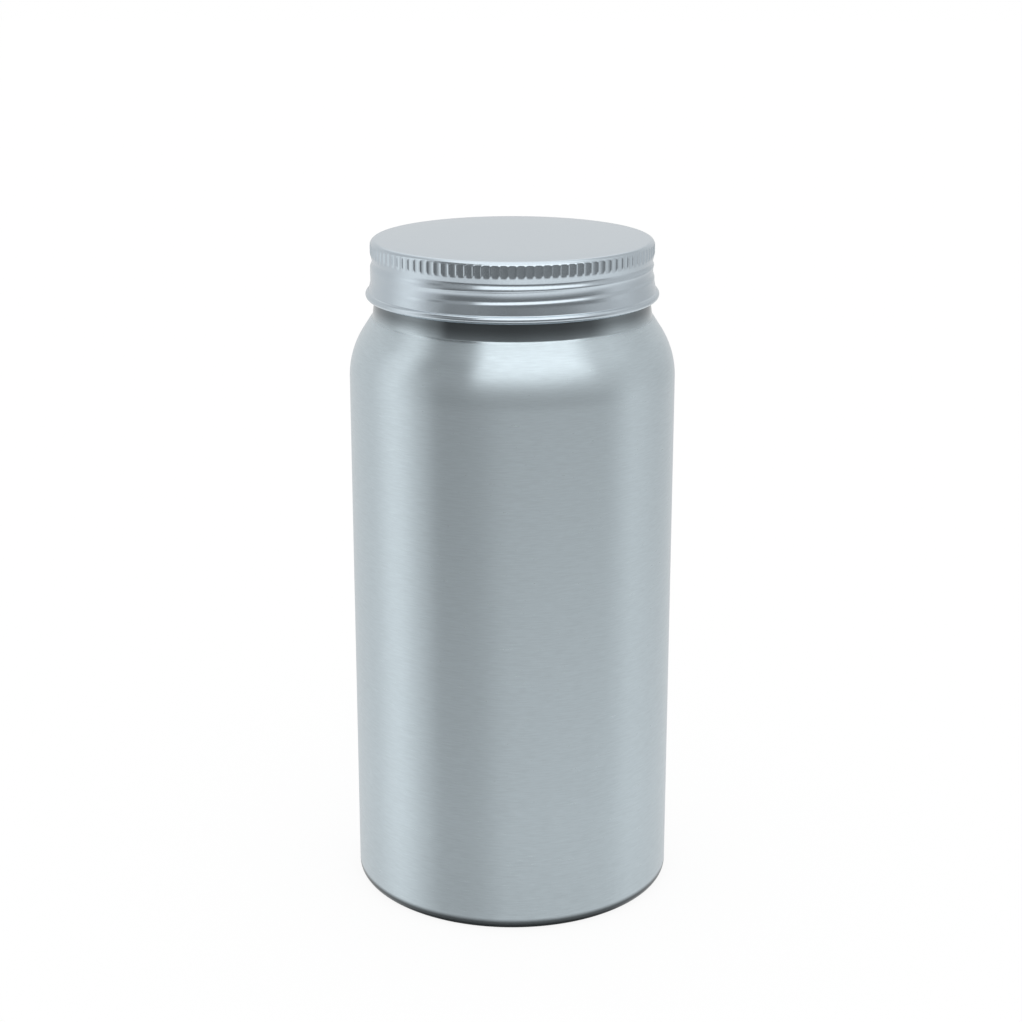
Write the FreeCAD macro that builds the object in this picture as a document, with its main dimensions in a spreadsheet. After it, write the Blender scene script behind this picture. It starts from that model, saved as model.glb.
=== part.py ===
"""Shut wide-mouth aluminium bottle with a knurled, rolled-thread screw cap.

Millimetres, +Z up. The origin is the centre of the ring that the bottle stands on.
Two pieces: the bottle, a drawn can with a rounded shoulder and a straight neck, and the cap,
a thin pressed shell whose top lies on the neck. The pack is shut, so the bottle is solid.
"""
import FreeCAD, Part
import math
import os

import Sketcher

Vector = FreeCAD.Vector

# Driving dimensions: alias, value, what it is.
DIMENSIONS = (
    ("body_radius", 37.0, "outer radius of the straight body"),
    ("overall_height", 152.8, "from the standing ring to the top of the cap"),
    ("neck_gap", 3.3, "height of bare neck between the shoulder and the cap"),
    ("shoulder_angle", 33.0, "slope of the top of the shoulder from upright, degrees"),
    ("shoulder_round", 19.5, "radius between the body and the shoulder's slope"),
    ("neck_round", 1.0, "radius of the hollow between the shoulder and the neck"),
    ("heel_round", 1.9, "radius of the heel"),
    ("ring_width", 2.2, "width of the flat ring that the bottle stands on"),
    ("base_slope", 3.0, "width of the sloping wall inside the ring"),
    ("base_rise", 2.4, "height of the base panel above the ring"),
    ("base_round", 2.0, "radius between the sloping wall and the base panel"),
    ("cap_radius", 31.95, "outer radius of the cap's wall"),
    ("cap_height", 13.0, "from the bottom of the curl to the top of the cap"),
    ("cap_wall", 0.4, "thickness of the cap's sheet"),
    ("cap_edge_round", 1.65, "radius of the cap's top edge"),
    ("neck_clearance", 0.15, "radial gap between the neck and the thread inside the cap"),
    ("knurl_drop", 1.5, "from the top of the cap to the top of the flutes"),
    ("knurl_height", 2.4, "length of a flute"),
    ("flute_count", 108, "flutes round the cap"),
    ("flute_share", 0.78, "part of the spacing that a flute takes up"),
    ("flute_depth", 0.3, "depth of a flute"),
    ("flute_tip", 0.7, "length of a flute's pointed lower end"),
    ("thread_pitch", 3.4, "rise of the rolled thread in one turn"),
    ("thread_turns", 1.2, "turns of the rolled thread"),
    ("thread_depth", 0.35, "depth of the rolled groove"),
    ("thread_round", 1.0, "radius of the rolled groove"),
    ("thread_start", -80.0, "angle where the groove starts, from the front, degrees"),
    ("thread_gap", 0.11, "height of plain wall between the groove's upper end and the flutes"),
    ("flare_height", 4.2, "from the bottom of the curl to the top of the flared skirt"),
    ("flare_width", 0.6, "how far the skirt flares outward"),
    ("curl_round", 1.02, "radius of the rolled curl"),
    ("curl_reach", 1.15, "how far the curl stands out past the wall"),
)

# Sizes that follow from the driving ones: alias, formula.
DERIVED = (
    ("cap_bottom", "overall_height - cap_height"),
    ("shoulder_top", "cap_bottom - neck_gap"),
    ("neck_radius", "cap_radius - thread_depth - cap_wall - neck_clearance"),
    ("neck_top", "overall_height - cap_wall"),
    ("shoulder_corner", "shoulder_top - (body_radius - neck_radius) / tan(shoulder_angle * 1deg)"),
    ("ring_outer", "body_radius - heel_round"),
    ("ring_inner", "ring_outer - ring_width"),
    ("panel_radius", "ring_inner - base_slope"),
    ("knurl_top", "overall_height - knurl_drop"),
    ("knurl_bottom", "knurl_top - knurl_height"),
    ("flute_half_width", "flute_share * pi * cap_radius / flute_count"),
    ("flute_round", "(flute_half_width ^ 2 + flute_depth ^ 2) / (2 * flute_depth)"),
    ("flute_axis", "cap_radius - flute_depth + flute_round"),
    ("flute_shoulder", "knurl_top - flute_half_width"),
    ("flute_point", "flute_round * flute_tip / flute_depth"),
    ("flute_low", "knurl_bottom + flute_tip"),
    ("inner_edge_round", "cap_edge_round - cap_wall"),
    ("room_low", "cap_radius - cap_wall"),
    ("room_high", "cap_radius - flute_depth - cap_wall"),
    ("thread_centre", "cap_radius - thread_depth + thread_round"),
    ("thread_length", "thread_turns * thread_pitch"),
    ("thread_half_height", "sqrt(thread_round ^ 2 - (thread_round - thread_depth) ^ 2)"),
    ("thread_top", "knurl_bottom - thread_gap - thread_half_height"),
    ("thread_rise", "thread_top - thread_length - cap_bottom"),
    ("curl_centre", "cap_radius + curl_reach - curl_round"),
    ("curl_middle", "cap_bottom + curl_round"),
    ("skirt_radius", "cap_radius + flare_width"),
)


def make_sheet(doc):
    """Put the driving dimensions and what follows from them in a spreadsheet with aliases."""
    sheet = doc.addObject("Spreadsheet::Sheet", "Dimensions")
    sheet.Label = "dims"
    row = 1
    for alias, value, note in DIMENSIONS:
        sheet.set(f"A{row}", alias)
        sheet.set(f"B{row}", repr(value))
        sheet.set(f"C{row}", note)
        sheet.setAlias(f"B{row}", alias)
        row += 1
    doc.recompute()
    for alias, formula in DERIVED:
        sheet.set(f"A{row}", alias)
        sheet.set(f"B{row}", "=" + formula)
        sheet.setAlias(f"B{row}", alias)
        doc.recompute()
        row += 1
    return sheet


def value_of(doc, formula):
    """Work out a formula of named sizes."""
    return float(doc.getObject("Dimensions").evalExpression(formula.replace("dims.", "")))


def bind(item, path, formula):
    """Tie a property to a formula of named sizes, each written as dims.alias."""
    item.setExpression(path, formula)


def make_body(doc, name):
    """A PartDesign body whose label is its name."""
    body = doc.addObject("PartDesign::Body", name)
    body.Label = name
    return body


def origin_item(body, role):
    """The body's own origin plane or axis with this role."""
    return next(item for item in body.Origin.OriginFeatures if item.Role == role)


def upright_sketch(body, name):
    """A sketch on the body's XZ plane: its x is the radius and its y the height."""
    sketch = body.newObject("Sketcher::SketchObject", name)
    sketch.AttachmentSupport = [(origin_item(body, "XZ_Plane"), "")]
    sketch.MapMode = "FlatFace"
    return sketch


def add_size(sketch, name, kind, points, formula):
    """Add a named size to a sketch, at its true value from the start, and tie it to its formula."""
    value = value_of(sketch.Document, formula)
    index = sketch.addConstraint(Sketcher.Constraint(kind, *points, value))
    sketch.renameConstraint(index, name)
    bind(sketch, f"Constraints.{name}", formula)


def place_point(sketch, curve, end, label, radius, height):
    """Hold one end of a curve at a radius and a height; a "0" lies on the axis or the ground."""
    for letter, kind, formula in (("r", "DistanceX", radius), ("z", "DistanceY", height)):
        if formula == "0":
            on_axis = -2 if letter == "r" else -1
            sketch.addConstraint(Sketcher.Constraint("PointOnObject", curve, end, on_axis))
            continue
        add_size(sketch, f"{label}_{letter}", kind, (-1, 1, curve, end), formula)


def closed_outline(doc, sketch, corners):
    """Draw straight sides through the corners, each a radius and a height by formula."""
    places = [(value_of(doc, radius), value_of(doc, height)) for radius, height in corners]
    count = len(corners)
    for number in range(count):
        start = Vector(*places[number], 0)
        finish = Vector(*places[(number + 1) % count], 0)
        sketch.addGeometry(Part.LineSegment(start, finish), False)
    for number in range(count):
        following = (number + 1) % count
        sketch.addConstraint(Sketcher.Constraint("Coincident", number, 2, following, 1))
    for number, (radius, height) in enumerate(corners):
        place_point(sketch, number, 1, f"corner{number}", radius, height)


def revolve(body, sketch, name, kind="PartDesign::Revolution"):
    """Turn a sketch fully round the body's Z axis."""
    feature = body.newObject(kind, name)
    feature.Profile = sketch
    feature.ReferenceAxis = (origin_item(body, "Z_Axis"), [""])
    feature.Angle = 360.0
    return feature


def ring_edge(shape, radius, height):
    """The name of the circular edge round the axis at this radius and height."""
    for number, edge in enumerate(shape.Edges, start=1):
        curve = edge.Curve
        if not isinstance(curve, Part.Circle):
            continue
        centre = curve.Center
        off_axis = abs(centre.x) + abs(centre.y)
        if off_axis < 1e-6 and abs(curve.Radius - radius) < 1e-4 and abs(centre.z - height) < 1e-4:
            return f"Edge{number}"
    raise RuntimeError(f"no circular edge at radius {radius} and height {height}")


def round_edge(doc, body, name, radius, height, formula):
    """Fillet the circular edge at this radius and height, its size tied to a formula."""
    doc.recompute()
    base = body.Tip
    edge = ring_edge(base.Shape, value_of(doc, radius), value_of(doc, height))
    fillet = body.newObject("PartDesign::Fillet", name)
    fillet.Base = (base, [edge])
    bind(fillet, "Radius", formula)
    doc.recompute()
    return fillet


def make_bottle(doc):
    """The bottle: straight body, rounded shoulder, plain neck and a base panel inside its ring."""
    body = make_body(doc, "bottle")
    outline = upright_sketch(body, "BottleOutline")
    closed_outline(doc, outline, (
        ("0", "0"),
        ("dims.body_radius", "0"),
        ("dims.body_radius", "dims.shoulder_corner"),
        ("dims.neck_radius", "dims.shoulder_top"),
        ("dims.neck_radius", "dims.neck_top"),
        ("0", "dims.neck_top"),
    ))
    revolve(body, outline, "BottleSolid")
    round_edge(doc, body, "ShoulderRound", "dims.body_radius", "dims.shoulder_corner",
               "dims.shoulder_round")
    round_edge(doc, body, "NeckRound", "dims.neck_radius", "dims.shoulder_top", "dims.neck_round")
    round_edge(doc, body, "LipRound", "dims.neck_radius", "dims.neck_top", "dims.inner_edge_round")
    round_edge(doc, body, "HeelRound", "dims.body_radius", "0", "dims.heel_round")

    recess = upright_sketch(body, "BaseOutline")
    closed_outline(doc, recess, (
        ("0", "0"),
        ("dims.ring_inner", "0"),
        ("dims.panel_radius", "dims.base_rise"),
        ("0", "dims.base_rise"),
    ))
    before = body.Tip.Shape.Volume
    revolve(body, recess, "BaseRecess", "PartDesign::Groove")
    round_edge(doc, body, "BaseRound", "dims.panel_radius", "dims.base_rise", "dims.base_round")
    if body.Shape.Volume >= before:
        raise RuntimeError("the base recess cut nothing")
    return body


def make_cap_blank(doc):
    """The cap's outer form as a solid: flat top, knurled wall, flared skirt and rolled curl."""
    body = make_body(doc, "cap_blank")
    outline = upright_sketch(body, "CapOutline")
    closed_outline(doc, outline, (
        ("0", "dims.cap_bottom"),
        ("dims.curl_centre", "dims.cap_bottom"),
        ("dims.curl_centre", "dims.curl_middle"),
        ("dims.skirt_radius", "dims.curl_middle"),
        ("dims.skirt_radius", "dims.cap_bottom + 2 * dims.curl_round"),
        ("dims.cap_radius", "dims.cap_bottom + dims.flare_height"),
        ("dims.cap_radius", "dims.overall_height"),
        ("0", "dims.overall_height"),
    ))
    revolve(body, outline, "CapSolid")
    doc.recompute()

    curl = upright_sketch(body, "CurlOutline")
    middle = Vector(value_of(doc, "dims.curl_centre"), value_of(doc, "dims.curl_middle"), 0)
    curl.addGeometry(Part.Circle(middle, Vector(0, 0, 1), value_of(doc, "dims.curl_round")), False)
    place_point(curl, 0, 3, "curl", "dims.curl_centre", "dims.curl_middle")
    add_size(curl, "curl_radius", "Radius", (0,), "dims.curl_round")
    revolve(body, curl, "Curl")
    round_edge(doc, body, "CapEdgeRound", "dims.cap_radius", "dims.overall_height",
               "dims.cap_edge_round")
    add_flutes(doc, body)
    return body


def add_flutes(doc, body):
    """Press one flute, round-ended above and pointed below, and repeat it round the cap."""
    flute = upright_sketch(body, "FluteOutline")
    axis_radius = value_of(doc, "dims.flute_axis")
    inner = axis_radius - value_of(doc, "dims.flute_round")
    low = value_of(doc, "dims.flute_low")
    high = value_of(doc, "dims.flute_shoulder")
    point = low - value_of(doc, "dims.flute_point")
    top = high + value_of(doc, "dims.flute_round")
    corners = (
        Vector(axis_radius, top, 0),
        Vector(axis_radius, point, 0),
        Vector(inner, low, 0),
        Vector(inner, high, 0),
    )
    for start, finish in zip(corners, corners[1:]):
        flute.addGeometry(Part.LineSegment(start, finish), False)
    dome = Part.Circle(Vector(axis_radius, high, 0), Vector(0, 0, 1), axis_radius - inner)
    flute.addGeometry(Part.ArcOfCircle(dome, math.pi / 2, math.pi), False)
    flute.addConstraint(Sketcher.Constraint("Coincident", 0, 2, 1, 1))
    flute.addConstraint(Sketcher.Constraint("Coincident", 1, 2, 2, 1))
    flute.addConstraint(Sketcher.Constraint("Coincident", 2, 2, 3, 2))
    flute.addConstraint(Sketcher.Constraint("Coincident", 3, 1, 0, 1))
    flute.addConstraint(Sketcher.Constraint("Vertical", 0))
    flute.addConstraint(Sketcher.Constraint("Vertical", 2))
    place_point(flute, 3, 3, "dome", "dims.flute_axis", "dims.flute_shoulder")
    flute.addConstraint(Sketcher.Constraint("PointOnObject", 3, 3, 0))
    add_size(flute, "round", "DistanceX", (2, 1, 0, 1), "dims.flute_round")
    add_size(flute, "straight", "DistanceY", (2, 1, 2, 2), "dims.flute_shoulder - dims.flute_low")
    add_size(flute, "point", "DistanceY", (0, 2, 2, 1), "dims.flute_point")
    flute.addConstraint(Sketcher.Constraint("Horizontal", 2, 2, 3, 3))

    before = body.Tip.Shape.Volume
    groove = body.newObject("PartDesign::Groove", "Flute")
    groove.Profile = flute
    groove.ReferenceAxis = (flute, ["Edge1"])
    groove.Angle = 360.0
    doc.recompute()
    if groove.Shape.Volume >= before:
        raise RuntimeError("the flute cut nothing")
    pattern = body.newObject("PartDesign::PolarPattern", "Flutes")
    pattern.Originals = [groove]
    pattern.Axis = (origin_item(body, "Z_Axis"), [""])
    pattern.Angle = 360.0
    bind(pattern, "Occurrences", "dims.flute_count")
    body.Tip = pattern
    doc.recompute()


def make_cap_room(doc):
    """The room inside the cap, narrower behind the knurl, where the sheet is pressed in."""
    body = make_body(doc, "cap_room")
    outline = upright_sketch(body, "RoomOutline")
    closed_outline(doc, outline, (
        ("0", "dims.cap_bottom - dims.cap_wall"),
        ("dims.room_low", "dims.cap_bottom - dims.cap_wall"),
        ("dims.room_low", "dims.knurl_bottom"),
        ("dims.room_high", "dims.knurl_bottom + dims.flute_depth"),
        ("dims.room_high", "dims.neck_top"),
        ("0", "dims.neck_top"),
    ))
    revolve(body, outline, "RoomSolid")
    round_edge(doc, body, "RoomEdgeRound", "dims.room_high", "dims.neck_top",
               "dims.inner_edge_round")
    return body


def thread_tube(doc, name, radius):
    """A round rod along the thread's helix, its radius by formula."""
    helix = doc.addObject("Part::Helix", f"{name}_helix")
    bind(helix, "Pitch", "dims.thread_pitch")
    bind(helix, "Height", "dims.thread_length")
    bind(helix, "Radius", "dims.thread_centre")
    bind(helix, "Placement.Base.z", "dims.cap_bottom + dims.thread_rise")
    bind(helix, "Placement.Rotation.Angle", "(dims.thread_start - 90) * 1deg")
    section = doc.addObject("Part::Circle", f"{name}_section")
    bind(section, "Radius", radius)
    doc.recompute()
    start = helix.Shape.Edges[0]
    first = start.FirstParameter
    section.Placement = FreeCAD.Placement(
        start.valueAt(first), FreeCAD.Rotation(Vector(0, 0, 1), start.tangentAt(first)))
    rod = doc.addObject("Part::Sweep", name)
    rod.Sections = [section]
    rod.Spine = (helix, ["Edge1"])
    rod.Solid = True
    rod.Frenet = True
    doc.recompute()
    return rod


def boolean(doc, kind, name, base, tool):
    """Cut or fuse two shapes of the document."""
    result = doc.addObject(kind, name)
    result.Base = base
    result.Tool = tool
    result.Label = name
    doc.recompute()
    return result


def make_cap(doc):
    """The cap: its outer form, hollowed, with the thread rolled into the wall from outside."""
    blank = make_cap_blank(doc)
    room = make_cap_room(doc)
    ridge = thread_tube(doc, "thread_ridge", "dims.thread_round + dims.cap_wall")
    groove = thread_tube(doc, "thread_groove", "dims.thread_round")
    ribbed_room = boolean(doc, "Part::Cut", "ribbed_room", room, ridge)
    shell = boolean(doc, "Part::Cut", "cap_shell", blank, ribbed_room)
    cap = boolean(doc, "Part::Cut", "cap", shell, groove)
    if cap.Shape.Volume >= shell.Shape.Volume:
        raise RuntimeError("the thread groove cut nothing")
    return cap


def check_document(doc):
    """Stop if any object failed to build."""
    for item in doc.Objects:
        if "Invalid" in item.State or "Error" in item.State:
            raise RuntimeError(f"{item.Label} failed to build: {item.State}")


def check_shape(item):
    """Stop unless the piece is one valid solid."""
    shape = item.Shape
    if shape.isNull() or not shape.isValid() or len(shape.Solids) != 1:
        raise RuntimeError(f"{item.Label} is not one valid solid")


def main():
    doc = FreeCAD.newDocument("aluminium_bottle")
    make_sheet(doc)
    pieces = (make_bottle(doc), make_cap(doc))
    doc.recompute()
    check_document(doc)
    for piece in pieces:
        check_shape(piece)
    os.makedirs("parts", exist_ok=True)
    for piece in pieces:
        piece.Shape.exportStep(f"parts/{piece.Label}.step")
        box = piece.Shape.BoundBox
        print(f"{piece.Label}: volume {piece.Shape.Volume:.1f} mm3, radius {box.XMax:.2f}, "
              f"height {box.ZMin:.2f} to {box.ZMax:.2f}")


main()
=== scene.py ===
"""Shut aluminium bottle with a knurled screw cap, laid out as a Blender add-on.

The bottle is drawn from sheet aluminium and brushed round its body. The cap is a thin pressed
shell: a flat top, a knurled band, a thread rolled into its wall, a flared skirt and a rolled curl.
Every shape is a profile turned round the Z axis, with the knurl and the thread pressed into it.
"""
import math

import bpy
import numpy as np
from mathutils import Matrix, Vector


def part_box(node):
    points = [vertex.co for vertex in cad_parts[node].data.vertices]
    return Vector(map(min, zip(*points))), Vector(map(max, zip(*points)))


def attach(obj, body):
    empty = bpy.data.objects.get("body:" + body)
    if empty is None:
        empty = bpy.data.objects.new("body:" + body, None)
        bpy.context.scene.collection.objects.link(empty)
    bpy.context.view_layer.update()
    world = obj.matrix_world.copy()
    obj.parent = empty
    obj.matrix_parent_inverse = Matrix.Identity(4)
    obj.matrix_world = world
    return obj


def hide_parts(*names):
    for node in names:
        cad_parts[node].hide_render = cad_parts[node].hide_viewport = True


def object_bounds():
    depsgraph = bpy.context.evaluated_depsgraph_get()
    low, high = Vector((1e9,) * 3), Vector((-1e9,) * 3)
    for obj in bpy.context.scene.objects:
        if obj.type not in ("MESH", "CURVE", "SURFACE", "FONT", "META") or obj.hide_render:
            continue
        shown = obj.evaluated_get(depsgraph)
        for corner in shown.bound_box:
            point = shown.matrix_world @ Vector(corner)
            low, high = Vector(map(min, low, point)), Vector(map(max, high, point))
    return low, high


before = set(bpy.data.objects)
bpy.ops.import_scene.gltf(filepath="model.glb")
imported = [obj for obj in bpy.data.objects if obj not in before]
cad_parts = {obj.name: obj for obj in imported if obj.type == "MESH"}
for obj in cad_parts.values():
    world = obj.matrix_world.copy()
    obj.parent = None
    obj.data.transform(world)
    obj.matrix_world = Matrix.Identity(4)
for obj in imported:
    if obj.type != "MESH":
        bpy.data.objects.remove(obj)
CAD_LOW, CAD_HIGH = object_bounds()
BOTTLE_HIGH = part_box("bottle")[1]
CAP_LOW, CAP_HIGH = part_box("cap")

bl_info = {
    "name": "Aluminium bottle",
    "version": (1, 0, 0),
    "blender": (4, 5, 0),
    "location": "3D View > Sidebar > Bottle",
    "description": "Builds a brushed aluminium bottle, its screw cap and a plain studio",
    "category": "Add Mesh",
}

MM = 0.001
CORE = 0.05             # share of the radius at which a profile ends and a fan takes over
BOTTLE_COLUMNS = 384    # points round the bottle
RIDGE_COLUMNS = 7       # points across a ridge of the knurl, with one more in each flute


# ---------------------------------------------------------------- sizes and colours

def length(label, note, millimetres):
    """A length property, shown in the scene's unit."""
    return bpy.props.FloatProperty(name=label, description=note, default=millimetres * MM,
                                   unit="LENGTH", precision=5, min=0.0)


def angle(label, note, degrees):
    """An angle property."""
    return bpy.props.FloatProperty(name=label, description=note, default=math.radians(degrees),
                                   subtype="ANGLE")


def number(label, note, value):
    """A plain number property."""
    return bpy.props.FloatProperty(name=label, description=note, default=value)


def linear(hexadecimal):
    """Turn an sRGB hex colour such as "#C0C8CC" into linear red, green, blue and alpha."""
    text = hexadecimal.lstrip("#")
    parts = [int(text[start:start + 2], 16) / 255 for start in (0, 2, 4)]
    curve = [c / 12.92 if c <= 0.04045 else ((c + 0.055) / 1.055) ** 2.4 for c in parts]
    return (*curve, 1.0)


def colour(label, note, hexadecimal):
    """A colour property, stored as linear light."""
    return bpy.props.FloatVectorProperty(name=label, description=note, subtype="COLOR", size=4,
                                         default=linear(hexadecimal), min=0.0, max=1.0)


class BottleSizes(bpy.types.PropertyGroup):
    """Sizes and colour of the bottle."""
    radius: length("Body radius", "Outer radius of the straight body", BOTTLE_HIGH.x / MM)
    neck_radius: length("Neck radius", "Outer radius of the neck", 31.05)
    shoulder_top: length("Shoulder top", "Height where the shoulder meets the neck", 136.5)
    shoulder_angle: angle("Shoulder angle", "Slope of the shoulder's top from upright", 33.0)
    shoulder_round: length("Shoulder round", "Radius between body and shoulder", 19.5)
    neck_spread: length("Neck spread", "How far the neck widens towards the shoulder", 0.55)
    neck_round: length("Neck round", "Radius between shoulder and neck", 1.0)
    heel_round: length("Heel round", "Radius of the heel", 1.9)
    ring_width: length("Ring width", "Width of the flat standing ring", 2.2)
    base_slope: length("Base slope", "Width of the wall inside the ring", 3.0)
    base_rise: length("Base rise", "Height of the base panel", 2.4)
    base_round: length("Base round", "Radius at the edge of the base panel", 2.0)
    lip_round: length("Lip round", "Radius of the top of the neck", 1.25)
    metal: colour("Metal", "Colour of the brushed metal", "#C2CED4")
    # Painted shade: the neck's colour is darkened towards the cap, where the cap shades it.
    neck_painted_shade: number("Neck tone", "Tone at the top of the bare neck against the body", 0.36)
    # Painted shadow: the heel's edge is darkened where the bottle meets the floor.
    heel_painted_shadow: number("Heel tone", "Tone of the heel's edge against the body", 0.16)


class CapSizes(bpy.types.PropertyGroup):
    """Sizes and colour of the cap."""
    radius: length("Wall radius", "Outer radius of the cap's wall", 31.95)
    wall: length("Wall", "Thickness of the sheet", 0.4)
    edge_round: length("Edge round", "Radius of the top edge", 1.3)
    flute_count: bpy.props.IntProperty(name="Flutes", description="Flutes round the cap",
                                       default=108)
    flute_depth: length("Flute depth", "Depth of a flute", 0.15)
    ridge_width: length("Ridge width", "Width of the ridge between two flutes, at its foot", 0.9)
    band_drop: length("Band drop", "From the top to the start of the groove below the flutes", 2.95)
    band_height: length("Band height", "From that start to the middle of the groove", 1.8)
    band_fall: length("Band fall", "From the middle of the groove down to the full wall", 1.5)
    band_depth: length("Band depth", "Depth of that groove", 0.41)
    thread_pitch: length("Thread pitch", "Rise of the thread in one turn", 3.4)
    thread_depth: length("Thread depth", "Depth of the thread", 0.33)
    thread_climb: length("Thread climb", "From the thread's middle up to its crest", 2.0)
    thread_fall: length("Thread fall", "From the thread's middle down to the full wall", 1.15)
    thread_start: angle("Thread start", "Angle where the thread starts, from the front", -80.0)
    thread_rise: length("Thread rise", "From the curl's bottom to the thread's start", 4.05)
    thread_run_in: number("Run in", "Part of a turn over which the thread deepens", 0.12)
    thread_run_out: number("Run out", "Part of a turn over which the thread fades", 0.25)
    flare_height: length("Flare height", "From the curl's bottom to the top of the skirt", 3.6)
    flare_width: length("Flare width", "How far the skirt flares", 0.44)
    curl_round: length("Curl round", "Radius of the rolled curl", 0.88)
    curl_drop: length("Curl drop", "How far the curl hangs below the solid's lower edge", 0.2)
    curl_reach: length("Curl reach", "How far the curl stands out past the wall", 1.15)
    metal: colour("Metal", "Colour of the cap's satin metal", "#C3CED6")


class StudioSettings(bpy.types.PropertyGroup):
    """Camera, floor and light."""
    camera_distance: length("Camera distance", "From the bottle's axis to the camera", 474.0)
    camera_height: length("Camera height", "Height of the camera above the floor", 231.9)
    camera_side: length("Camera side", "How far the camera stands to the left of the axis", 0.3)
    camera_pitch: angle("Camera pitch", "How far the camera looks down", 16.8)
    lens: number("Lens", "Focal length for a sensor 36 mm wide", 74.93)
    floor_size: length("Floor size", "Side of the square floor", 6000.0)
    floor_shade: number("Floor shade", "How much of the shadow the floor shows", 0.1)


# ---------------------------------------------------------------- shapes

def arc(centre, radius, start, finish, steps):
    """Points round a centre (r, z) from one angle to another, in degrees from straight out."""
    swept = np.radians(np.linspace(start, finish, steps + 1))
    return np.column_stack((centre[0] + radius * np.cos(swept), centre[1] + radius * np.sin(swept)))


def straight(start, finish, steps):
    """Evenly spaced points from one (r, z) to another."""
    share = np.linspace(0.0, 1.0, steps + 1)[:, None]
    return np.asarray(start) * (1 - share) + np.asarray(finish) * share


def join(*stretches):
    """One profile from stretches that follow each other, without the doubled points.

    A point is kept where it lies more than a nanometre from the one before it.
    """
    points = np.vstack(stretches)
    step = np.linalg.norm(np.diff(points, axis=0), axis=1)
    return points[np.concatenate(([True], step > 1e-9))]


def rounded(before, corner, after, radius, steps):
    """The arc of a radius that touches both sides of a corner between three (r, z) points.

    The arc's centre lies on the corner's bisector, radius / sin(half the corner's angle) away.
    """
    before, corner, after = (np.asarray(point, dtype=float) for point in (before, corner, after))
    back = (before - corner) / np.linalg.norm(before - corner)
    ahead = (after - corner) / np.linalg.norm(after - corner)
    half = math.acos(float(np.clip(back @ ahead, -1, 1))) / 2
    bisector = (back + ahead) / np.linalg.norm(back + ahead)
    centre = corner + bisector * radius / math.sin(half)
    first = corner + back * radius / math.tan(half) - centre
    last = corner + ahead * radius / math.tan(half) - centre
    start = math.atan2(first[1], first[0])
    sweep = (math.atan2(last[1], last[0]) - start + math.pi) % (2 * math.pi) - math.pi
    swept = start + sweep * np.linspace(0.0, 1.0, steps + 1)
    return centre + radius * np.column_stack((np.cos(swept), np.sin(swept)))


def around_axis(radius, around, height):
    """Points (r sin a, -r cos a, z), where the angle a is 0 at the front and grows to the right."""
    rings = np.broadcast_arrays(radius * np.sin(around), -radius * np.cos(around), height)
    return np.stack(rings, axis=-1)


def turned_mesh(name, rings):
    """A closed mesh from rings of points (rows, columns, 3), with a point on the axis at each end.

    The rows run from one end of the profile to the other, and a fan of triangles closes each end
    at the height of its ring. Seen from outside, every face runs anticlockwise.
    """
    rows, columns = rings.shape[:2]
    bottom, top = ((0, 0, rings[end, 0, 2]) for end in (0, -1))
    points = np.vstack((rings.reshape(-1, 3), [bottom], [top]))
    index = np.arange(rows * columns).reshape(rows, columns)
    ahead = np.roll(index, -1, axis=1)
    quads = np.stack((index[:-1], ahead[:-1], ahead[1:], index[1:]), axis=-1).reshape(-1, 4)
    first = np.full(columns, rows * columns)
    last = first + 1
    low_fan = np.column_stack((first, ahead[0], index[0]))
    high_fan = np.column_stack((last, index[-1], ahead[-1]))
    mesh = bpy.data.meshes.new(name)
    mesh.vertices.add(len(points))
    mesh.vertices.foreach_set("co", points.ravel())
    corners = np.concatenate((quads.ravel(), low_fan.ravel(), high_fan.ravel()))
    sizes = np.concatenate((np.full(len(quads), 4), np.full(2 * columns, 3)))
    mesh.loops.add(len(corners))
    mesh.loops.foreach_set("vertex_index", corners.astype(np.int32))
    mesh.polygons.add(len(sizes))
    starts = np.concatenate(([0], np.cumsum(sizes)[:-1]))
    mesh.polygons.foreach_set("loop_start", starts.astype(np.int32))
    mesh.update(calc_edges=True)
    mesh.validate()
    mesh.shade_smooth()
    return mesh


def link_piece(name, mesh, material, node):
    """Put a finished mesh in the scene as the piece that stands for a node."""
    mesh.materials.append(material)
    piece = bpy.data.objects.new(name, mesh)
    bpy.context.scene.collection.objects.link(piece)
    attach(piece, "root")
    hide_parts(node)
    return piece


def bottle_profile(sizes):
    """The bottle's outline from the centre of its base panel to the centre of its top.

    Straight stretches joined by arcs: panel, wall inside the ring, ring, heel, body, shoulder
    arc, shoulder slope, hollow at the neck, widening foot of the neck, neck and lip.
    """
    body, neck = sizes.radius, sizes.neck_radius
    ring_outer = body - sizes.heel_round
    ring_inner = ring_outer - sizes.ring_width
    panel = ring_inner - sizes.base_slope
    top = BOTTLE_HIGH.z
    fall = 1 / math.tan(sizes.shoulder_angle)
    shoulder = (body, sizes.shoulder_top - (body - neck) * fall)
    root = (neck + sizes.neck_spread, sizes.shoulder_top - sizes.neck_spread * fall)
    collar = (neck, CAP_LOW.z)
    panel_edge = (panel, sizes.base_rise)
    base_round = rounded((0, sizes.base_rise), panel_edge, (ring_inner, 0), sizes.base_round, 6)
    heel = arc((ring_outer, sizes.heel_round), sizes.heel_round, -90, 0, 12)
    bend = rounded((body, 0), shoulder, root, sizes.shoulder_round, 28)
    hollow = rounded(shoulder, root, collar, sizes.neck_round, 6)
    lip = arc((neck - sizes.lip_round, top - sizes.lip_round), sizes.lip_round, 0, 90, 6)
    return join(
        straight((panel * CORE, sizes.base_rise), base_round[0], 10),
        base_round,
        straight(base_round[-1], (ring_inner, 0), 3),
        straight((ring_inner, 0), heel[0], 3),
        heel,
        straight(heel[-1], bend[0], 40),
        bend,
        straight(bend[-1], hollow[0], 6),
        hollow,
        straight(hollow[-1], collar, 4),
        straight(collar, lip[0], 6),
        lip,
        straight(lip[-1], (neck * CORE, top), 6),
    )


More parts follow.
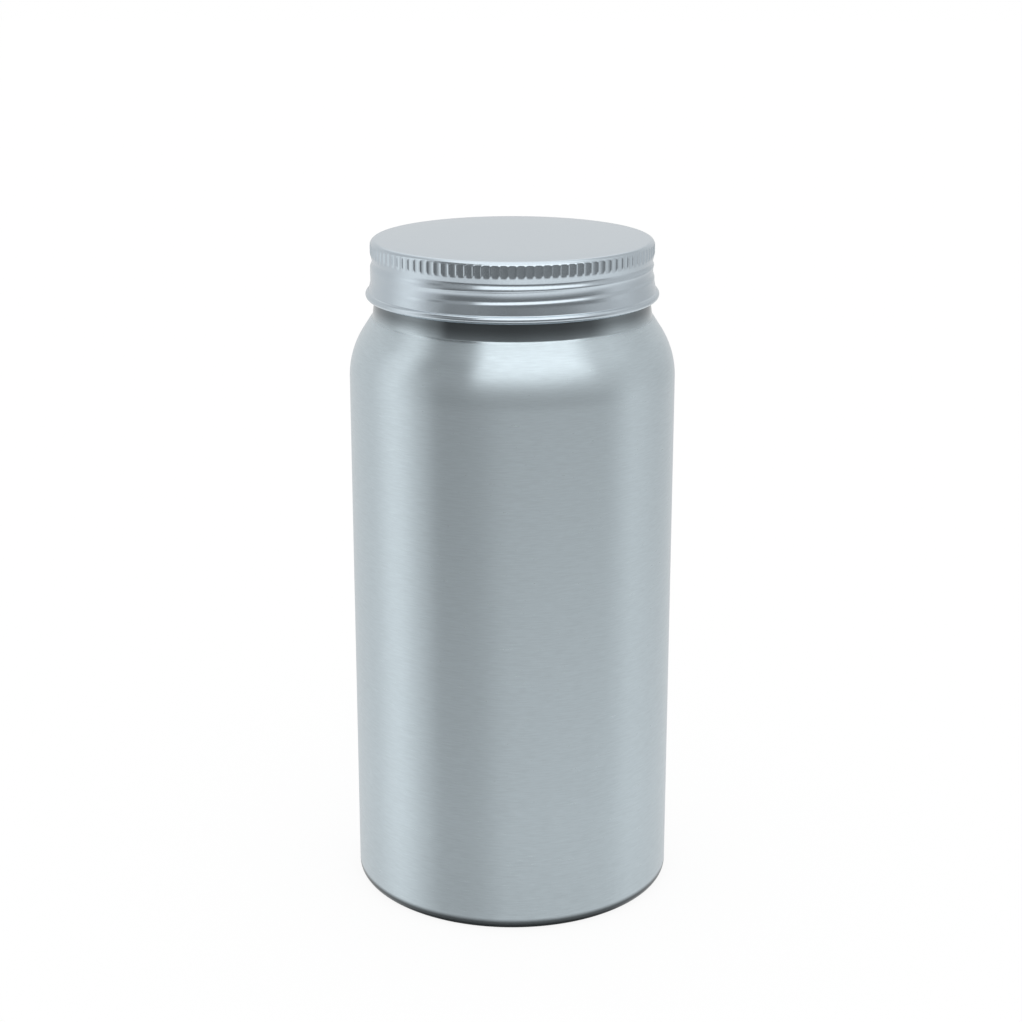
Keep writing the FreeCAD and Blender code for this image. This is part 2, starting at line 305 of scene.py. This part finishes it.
def bottle_rings(sizes):
    """The bottle's points: its profile turned round Z in even steps."""
    profile = bottle_profile(sizes)
    around = np.linspace(0.0, 2 * math.pi, BOTTLE_COLUMNS, endpoint=False)
    return around_axis(profile[:, :1], around, profile[:, 1:])


def ease(value):
    """Smooth step: 3 v^2 - 2 v^3 of a value held between 0 and 1."""
    held = np.clip(value, 0, 1)
    return held * held * (3 - 2 * held)


def flute_relief(sizes, around, radius, height):
    """How deep the knurl presses at an angle, on a point of the profile.

    A flute's floor is upright, its depth inside the wall, so it runs up into the rounded edge.
    Each ridge rises from two floors with a smooth step over half its width.
    """
    spacing = 2 * math.pi / sizes.flute_count
    from_ridge = spacing / 2 - np.abs((around + spacing / 2) % spacing - spacing / 2)
    across_ridge = 2 * from_ridge * sizes.radius / sizes.ridge_width
    floor = sizes.radius - sizes.flute_depth * ease(across_ridge)
    lowest = CAP_HIGH.z - sizes.band_drop - sizes.band_height
    return np.where(height > lowest, np.clip(radius - floor, 0, None), 0)


def band_relief(sizes, height):
    """How deep the groove below the flutes is at a height.

    From its start it deepens evenly to its middle, and then eases back to the wall.
    """
    start = CAP_HIGH.z - sizes.band_drop
    middle = start - sizes.band_height
    above = np.clip((start - height) / sizes.band_height, 0, 1)
    below = 1 - ease((middle - height) / sizes.band_fall)
    return sizes.band_depth * np.where(height >= middle, above, below)


def thread_relief(sizes, around, height):
    """How deep the rolled thread is at an angle and a height.

    Its middle climbs by the pitch in each turn. Above the middle the depth falls as
    1 - (distance / climb)^3 up to a crest, below it eases out over a shorter fall, and at both
    ends the thread runs out smoothly.
    """
    turns = ((around - sizes.thread_start) / (2 * math.pi)) % 1.0
    middle = CAP_LOW.z + sizes.thread_rise + sizes.thread_pitch * turns
    above = 1 - np.clip((height - middle) / sizes.thread_climb, 0, 1) ** 3
    below = 1 - ease((middle - height) / sizes.thread_fall)
    run_in = ease(turns / sizes.thread_run_in)
    run_out = ease((1 - turns) / sizes.thread_run_out)
    return sizes.thread_depth * run_in * run_out * np.where(height >= middle, above, below)


def cap_profile(sizes):
    """The cap's outline without knurl or thread.

    It runs from the centre of the underside of the top, down the inside, round the curl, up the
    flared skirt and the wall, and over the edge to the centre of the top. The skirt starts where
    the curl's circle reaches its foot, in a sharp crease with a short stretch above it.
    """
    wall, radius = sizes.wall, sizes.radius
    bottom, top = CAP_LOW.z - sizes.curl_drop, CAP_HIGH.z
    inner = radius - wall
    edge = sizes.edge_round
    inner_edge = edge - wall
    flare_top = CAP_LOW.z + sizes.flare_height
    curl_centre = (radius + sizes.curl_reach - sizes.curl_round, bottom + sizes.curl_round)
    skirt_foot = radius + sizes.flare_width
    lean = math.degrees(math.asin((skirt_foot - curl_centre[0]) / sizes.curl_round))
    crease = arc(curl_centre, sizes.curl_round, 0, 90 - lean, 1)[-1]
    above_crease = crease * 0.95 + np.array((radius, flare_top)) * 0.05
    foot = (inner, bottom + 0.4 * sizes.curl_round)
    under = (inner + 0.4 * wall, bottom)
    return join(
        straight((radius * CORE, top - wall), (inner - inner_edge, top - wall), 3),
        arc((inner - inner_edge, top - edge), inner_edge, 90, 0, 3),
        straight((inner, top - edge), foot, 20),
        straight(foot, under, 1),
        straight(under, (curl_centre[0], bottom), 1),
        arc(curl_centre, sizes.curl_round, -90, 90 - lean, 12),
        straight(crease, above_crease, 1),
        straight(above_crease, (radius, flare_top), 4),
        straight((radius, flare_top), (radius, top - edge), 44),
        arc((radius - edge, top - edge), edge, 0, 90, 12),
        straight((radius - edge, top), (radius * CORE, top), 3),
    )


def cap_rings(sizes):
    """The cap's points: its profile turned round Z, with knurl, groove and thread pressed inwards.

    Where they meet, the deepest one counts. The groove and the thread show on both faces of the
    sheet, the flutes on the outer one alone. Every depth fades to nothing between 1.5 and 2
    sheets inside the wall, so that the top stays flat.
    """
    spacing = 2 * math.pi / sizes.flute_count
    ridge = sizes.ridge_width / (spacing * sizes.radius) / 2
    share = np.append(np.linspace(-1, 1, RIDGE_COLUMNS) * ridge, 0.5)
    around = ((np.arange(sizes.flute_count)[:, None] + share - 0.5) * spacing).ravel()
    profile = cap_profile(sizes)
    radius, height = profile[:, :1], profile[:, 1:]
    relief = np.maximum(band_relief(sizes, height), thread_relief(sizes, around, height))
    relief = np.maximum(relief, flute_relief(sizes, around, radius, height))
    near_wall = np.clip((radius - sizes.radius + 2 * sizes.wall) / (0.5 * sizes.wall), 0, 1)
    return around_axis(radius - relief * near_wall, around, height)


# ---------------------------------------------------------------- materials

WHITE = (1.0, 1.0, 1.0, 1.0)
NOISE_SPAN = (0.25, 0.75)       # where nearly all values of Blender's noise lie


def add_node(tree, kind, links=None, **settings):
    """Add a node, set its properties and sockets, and link other nodes' sockets into it.

    A setting named after a property sets it; any other name, or a number as in i0, sets a socket.
    """
    node = tree.nodes.new(kind)
    for key, value in settings.items():
        if hasattr(node, key):
            setattr(node, key, value)
    for key, value in settings.items():
        if not hasattr(node, key):
            socket = int(key[1:]) if key[0] == "i" and key[1:].isdigit() else key.replace("_", " ")
            node.inputs[socket].default_value = value
    for key, source in (links or {}).items():
        tree.links.new(source, node.inputs[key])
    return node


def fresh_material(name):
    """An empty node material and its tree."""
    material = bpy.data.materials.new(name)
    material.use_nodes = True
    material.node_tree.nodes.clear()
    return material, material.node_tree


def spread(tree, value, low, high, first, last, kind="LINEAR"):
    """Turn a value between low and high into one between first and last, evenly or eased."""
    return add_node(tree, "ShaderNodeMapRange", {"Value": value}, interpolation_type=kind,
                    i1=low, i2=high, i3=first, i4=last).outputs[0]


def compute(tree, operation, *values):
    """One or two values put through a math node, such as MULTIPLY, MAXIMUM or DEGREES."""
    return add_node(tree, "ShaderNodeMath", dict(enumerate(values)), operation=operation).outputs[0]


def brushed_aluminium(sizes):
    """Drawn aluminium, brushed on a lathe and clear coated.

    The eye takes from it the broad soft highlights that run up the body, and a faint streaky grain
    across them: the grain runs round the body, so reflections smear up and down and stay sharp
    sideways. The scratches are about 0.03 mm apart in truth, too fine to show, and are drawn
    0.25 mm high. The neck is bare metal, smoother than the body, and its colour is darkened with
    painted shade up towards the cap. The heel's edge is darkened with a painted contact shadow,
    and the foot above it with slightly darker painted shade towards the floor.
    """
    grain_height, grain_length = 0.25 * MM, 3.0 * MM
    grain_depth = 0.05 * MM
    # Painted shade on the neck: its colour darkens between these heights, up towards the cap.
    neck_shade_start, neck_shade_end = sizes.shoulder_top - 1.9 * MM, CAP_LOW.z - 1.3 * MM
    bare_start, bare_end = sizes.shoulder_top - 1.4 * MM, sizes.shoulder_top - 0.7 * MM
    # Painted contact shadow on the heel's edge, full at the lower height and gone at the upper.
    heel_shadow_full, heel_shadow_clear = 0.92 * sizes.heel_round, 1.55 * sizes.heel_round
    # Painted shade on the foot: slightly darker towards the floor, up to this height.
    foot_painted_shade, foot_shade_height = 0.93, 24 * MM

    material, tree = fresh_material("brushed_aluminium")
    place = add_node(tree, "ShaderNodeTexCoord")
    stretch = add_node(tree, "ShaderNodeMapping", {"Vector": place.outputs["Object"]},
                       Scale=(1 / grain_length, 1 / grain_length, 1 / grain_height))
    grain = add_node(tree, "ShaderNodeTexNoise", {"Vector": stretch.outputs[0]},
                     Scale=1.0, Detail=3.0, Roughness=0.6).outputs["Fac"]
    height = add_node(tree, "ShaderNodeSeparateXYZ", {0: place.outputs["Object"]}).outputs["Z"]

    # The streaks are the metal's own grain. The neck is darkened with painted shade, the heel's
    # edge with a painted contact shadow and the foot with painted shade towards the floor.
    streaks = spread(tree, grain, *NOISE_SPAN, 0.94, 1.06)
    neck = spread(tree, height, neck_shade_start, neck_shade_end, 1.0, sizes.neck_painted_shade, "SMOOTHSTEP")
    heel = spread(tree, height, heel_shadow_full, heel_shadow_clear, sizes.heel_painted_shadow, 1.0, "SMOOTHSTEP")
    foot = spread(tree, height, sizes.heel_round, foot_shade_height, foot_painted_shade, 1.0)
    heel_and_foot_shade = compute(tree, "MULTIPLY", foot, heel)
    ends = compute(tree, "MULTIPLY", neck, heel_and_foot_shade)
    tone = compute(tree, "MULTIPLY", streaks, ends)
    metal = add_node(tree, "ShaderNodeVectorMath", {1: tone}, operation="MULTIPLY",
                     i0=sizes.metal[:3])

    metallic = spread(tree, height, bare_start, bare_end, 0.82, 1.0)
    brushing = spread(tree, grain, *NOISE_SPAN, 0.33, 0.27)
    polish = spread(tree, height, bare_start, bare_end, 1.0, 0.5)
    scratches = add_node(tree, "ShaderNodeBump", {"Height": grain},
                         Strength=0.05, Distance=grain_depth)
    round_axis = add_node(tree, "ShaderNodeTangent", direction_type="RADIAL", axis="Z")
    shader = add_node(tree, "ShaderNodeBsdfPrincipled", {
        "Base Color": metal.outputs[0],
        "Roughness": compute(tree, "MULTIPLY", brushing, polish),
        "Normal": scratches.outputs[0],
        "Tangent": round_axis.outputs[0],
        "Metallic": metallic,
    }, Anisotropic=0.75, Anisotropic_Rotation=0.25)
    add_node(tree, "ShaderNodeOutputMaterial", {"Surface": shader.outputs[0]})
    return material


def satin_aluminium(sizes):
    """Pressed aluminium sheet with a plain satin finish, as rolled and lightly etched.

    The eye takes from it the sharp bright and dark lines along each bend, and on the flat top an
    even grey with a barely visible grit.
    """
    grit_size = 0.4 * MM
    material, tree = fresh_material("satin_aluminium")
    place = add_node(tree, "ShaderNodeTexCoord")
    grit = add_node(tree, "ShaderNodeTexNoise", {"Vector": place.outputs["Object"]},
                    Scale=1 / grit_size, Detail=3.0, Roughness=0.6).outputs["Fac"]
    metal = add_node(tree, "ShaderNodeVectorMath", {1: spread(tree, grit, *NOISE_SPAN, 0.97, 1.03)},
                     operation="MULTIPLY", i0=sizes.metal[:3])
    shader = add_node(tree, "ShaderNodeBsdfPrincipled", {"Base Color": metal.outputs[0]},
                      Metallic=0.92, Roughness=0.19)
    add_node(tree, "ShaderNodeOutputMaterial", {"Surface": shader.outputs[0]})
    return material


def studio_floor(settings):
    """A seamless pale sweep: even white to the camera, with a soft share of the shadow.

    Metal looks through it at the pale table of the studio below.
    """
    material, tree = fresh_material("pale_paper")
    ray = add_node(tree, "ShaderNodeLightPath")
    white = add_node(tree, "ShaderNodeEmission", Color=WHITE, Strength=1.0)
    paper = add_node(tree, "ShaderNodeBsdfDiffuse", Color=WHITE)
    seen = add_node(tree, "ShaderNodeMixShader", {1: white.outputs[0], 2: paper.outputs[0]},
                    i0=settings.floor_shade)
    clear = add_node(tree, "ShaderNodeBsdfTransparent")
    out = add_node(tree, "ShaderNodeMixShader", {
        0: ray.outputs["Is Glossy Ray"], 1: seen.outputs[0], 2: clear.outputs[0]})
    add_node(tree, "ShaderNodeOutputMaterial", {"Surface": out.outputs[0]})
    return material


# ---------------------------------------------------------------- studio

# What metal sees, as shares of white, from straight down to straight up. Azimuth 0 is the front
# and 90 the right. Each zone: lower edge and its softness, then stops of (azimuth, level). All in
# degrees.
ZONES = (
    # straight down, under all the others: the foot's own shadow
    (-90, 0, ((-180, 0.05), (180, 0.05))),
    # the table near the bottle
    (-50, 5, ((-180, 0.95), (-75, 0.95), (-50, 0.83), (-28, 0.85), (0, 1.05), (60, 1.0),
              (180, 0.95))),
    # the far table
    (-26, 8, ((-180, 0.75), (-130, 0.75), (-66, 0.5), (-52, 0.16), (-30, 0.2), (0, 0.58),
              (40, 0.65), (75, 0.6), (95, 0.74), (122, 0.70), (180, 0.8))),
    # the dim end of the room behind the camera, and the backdrop opposite it
    (-16, 4, ((-180, 0.75), (-130, 0.75), (-66, 0.5), (-52, 0.14), (-35, 0.13), (0, 0.14),
              (40, 0.16), (62, 0.2), (93, 0.74), (122, 0.60), (180, 0.75))),
    # the same, higher up
    (4, 4, ((-180, 0.785), (-130, 0.75), (-66, 0.5), (-52, 0.25), (-38, 0.27), (0, 0.2),
            (36, 0.28), (75, 0.6), (120, 0.66), (180, 0.785))),
    # the ceiling
    (24, 2.5, ((-180, 1.25), (-135, 0.7), (-74, 0.10), (-40, 0.04), (0, 0.4), (75, 0.8),
               (95, 0.9), (122, 0.64), (145, 0.62), (180, 1.25))),
)
# Soft boxes laid over the zones: azimuth from, to, softness; height from, to, softness; level.
BOXES = (
    (-64, -29, 8, 22, 36, 3, 0.4),          # a dim one left of the big box
    (-31, 66, 6, 24, 95, 2.5, 1.7),         # the big box above the front
    (-200, 200, 5, 58, 95, 8, 1.4),         # the pale ceiling straight above
    (-106, -76, 14, -40, 12, 8, 1.07),      # the tall narrow one on the left
    (-106, -80, 12, 12, 50, 8, 1.2),        # its brighter upper half
)


def window(tree, value, low, high, soft):
    """1 where a value lies between low and high, easing to 0 over twice soft at each edge."""
    rise = spread(tree, value, low - soft, low + soft, 0.0, 1.0, "SMOOTHSTEP")
    fall = spread(tree, value, high - soft, high + soft, 1.0, 0.0, "SMOOTHSTEP")
    return compute(tree, "MULTIPLY", rise, fall)


def ramp(tree, azimuth, stops):
    """A level along the azimuth, eased through stops of (azimuth, level)."""
    share = spread(tree, azimuth, -180, 180, 0.0, 1.0)
    node = add_node(tree, "ShaderNodeValToRGB", {"Fac": share})
    node.color_ramp.interpolation = "EASE"
    elements = node.color_ramp.elements
    while len(elements) < len(stops):
        elements.new(0.5)
    for element, (place, level) in zip(elements, stops):
        element.position = (place + 180) / 360
        element.color = (level, level, level, 1.0)
    return node.outputs[0]


def studio_level(tree):
    """What metal sees in each direction: the zones eased into each other, then the soft boxes."""
    place = add_node(tree, "ShaderNodeTexCoord")
    axes = add_node(tree, "ShaderNodeSeparateXYZ", {0: place.outputs["Generated"]})
    toward = add_node(tree, "ShaderNodeMath", {0: axes.outputs["Y"]}, operation="MULTIPLY", i1=-1.0)
    turned = compute(tree, "ARCTAN2", axes.outputs["X"], toward.outputs[0])
    azimuth = compute(tree, "DEGREES", turned)
    height = compute(tree, "DEGREES", compute(tree, "ARCSINE", axes.outputs["Z"]))

    level = ramp(tree, azimuth, ZONES[0][2])
    for edge, soft, stops in ZONES[1:]:
        above = spread(tree, height, edge - soft, edge + soft, 0.0, 1.0, "SMOOTHSTEP")
        level = add_node(tree, "ShaderNodeMix", {
            "Factor": above, "A": level, "B": ramp(tree, azimuth, stops),
        }, data_type="FLOAT").outputs["Result"]
    for *across, low, high, soft, strength in BOXES:
        mask = compute(tree, "MULTIPLY", window(tree, azimuth, *across),
                       window(tree, height, low, high, soft))
        level = add_node(tree, "ShaderNodeMix", {"Factor": mask, "A": level},
                         data_type="FLOAT", B=strength).outputs["Result"]
    return level


def studio_world():
    """The light round the bottle.

    The camera, matt surfaces and glass see an even white. Metal sees the same pale table and
    backdrop with the dim end of the room and the soft boxes, since a surrounding that is white
    all round would leave it flat.
    """
    world = bpy.data.worlds.new("studio")
    world.use_nodes = True
    tree = world.node_tree
    tree.nodes.clear()
    studio = add_node(tree, "ShaderNodeBackground", {"Color": studio_level(tree)}, Strength=1.0)
    white = add_node(tree, "ShaderNodeBackground", Color=WHITE, Strength=1.0)
    ray = add_node(tree, "ShaderNodeLightPath")
    matt = compute(tree, "MAXIMUM", ray.outputs["Is Camera Ray"], ray.outputs["Is Diffuse Ray"])
    plain = compute(tree, "MAXIMUM", matt, ray.outputs["Is Transmission Ray"])
    out = add_node(tree, "ShaderNodeMixShader", {
        0: plain, 1: studio.outputs[0], 2: white.outputs[0]})
    add_node(tree, "ShaderNodeOutputWorld", {"Surface": out.outputs[0]})
    bpy.context.scene.world = world


# ---------------------------------------------------------------- operators

class BOTTLE_OT_build_bottle(bpy.types.Operator):
    """Build the brushed bottle"""
    bl_idname = "bottle.build_bottle"
    bl_label = "Bottle"

    def execute(self, context):
        sizes = context.scene.bottle_sizes
        mesh = turned_mesh("bottle_skin", bottle_rings(sizes))
        link_piece("bottle_skin", mesh, brushed_aluminium(sizes), "bottle")
        return {"FINISHED"}


class BOTTLE_OT_build_cap(bpy.types.Operator):
    """Build the knurled screw cap"""
    bl_idname = "bottle.build_cap"
    bl_label = "Cap"

    def execute(self, context):
        sizes = context.scene.cap_sizes
        mesh = turned_mesh("cap_skin", cap_rings(sizes))
        link_piece("cap_skin", mesh, satin_aluminium(sizes), "cap")
        return {"FINISHED"}


class BOTTLE_OT_build_studio(bpy.types.Operator):
    """Build the floor, the light and the camera"""
    bl_idname = "bottle.build_studio"
    bl_label = "Studio"

    def execute(self, context):
        settings = context.scene.studio_settings
        scene = context.scene
        half, level = settings.floor_size / 2, CAD_LOW.z
        corners = [(-half, -half, level), (half, -half, level),
                   (half, half, level), (-half, half, level)]
        mesh = bpy.data.meshes.new("floor")
        mesh.from_pydata(corners, [], [(0, 1, 2, 3)])
        mesh.materials.append(studio_floor(settings))
        floor = bpy.data.objects.new("floor", mesh)
        scene.collection.objects.link(floor)
        studio_world()

        data = bpy.data.cameras.new("camera")
        data.sensor_width = 36.0
        data.lens = settings.lens
        camera = bpy.data.objects.new("camera", data)
        camera.location = (-settings.camera_side, -settings.camera_distance, settings.camera_height)
        camera.rotation_euler = (math.pi / 2 - settings.camera_pitch, 0, 0)
        scene.collection.objects.link(camera)
        scene.camera = camera

        scene.view_settings.view_transform = "Standard"
        return {"FINISHED"}


class VIEW3D_PT_bottle(bpy.types.Panel):
    """Panel that lists the bottle's operators and sizes"""
    bl_label = "Aluminium bottle"
    bl_space_type = "VIEW_3D"
    bl_region_type = "UI"
    bl_category = "Bottle"

    def draw(self, context):
        layout = self.layout
        for title, name, operator in SECTIONS:
            settings = getattr(context.scene, name)
            box = layout.box()
            box.label(text=title)
            for key in settings.__annotations__:
                box.prop(settings, key)
            box.operator(operator)


SECTIONS = (
    ("Bottle", "bottle_sizes", BOTTLE_OT_build_bottle.bl_idname),
    ("Cap", "cap_sizes", BOTTLE_OT_build_cap.bl_idname),
    ("Studio", "studio_settings", BOTTLE_OT_build_studio.bl_idname),
)
GROUPS = {
    "bottle_sizes": BottleSizes,
    "cap_sizes": CapSizes,
    "studio_settings": StudioSettings,
}
CLASSES = (
    *GROUPS.values(),
    BOTTLE_OT_build_bottle,
    BOTTLE_OT_build_cap,
    BOTTLE_OT_build_studio,
    VIEW3D_PT_bottle,
)


def register():
    """Register the classes and hang the settings on the scene."""
    for item in CLASSES:
        bpy.utils.register_class(item)
    for name, group in GROUPS.items():
        setattr(bpy.types.Scene, name, bpy.props.PointerProperty(type=group))


def unregister():
    """Take the settings and the classes away again."""
    for name in GROUPS:
        delattr(bpy.types.Scene, name)
    for item in reversed(CLASSES):
        bpy.utils.unregister_class(item)


def main():
    """Build every piece in order."""
    register()
    bpy.ops.bottle.build_bottle()
    bpy.ops.bottle.build_cap()
    bpy.ops.bottle.build_studio()


if __name__ == "__main__":
    main()
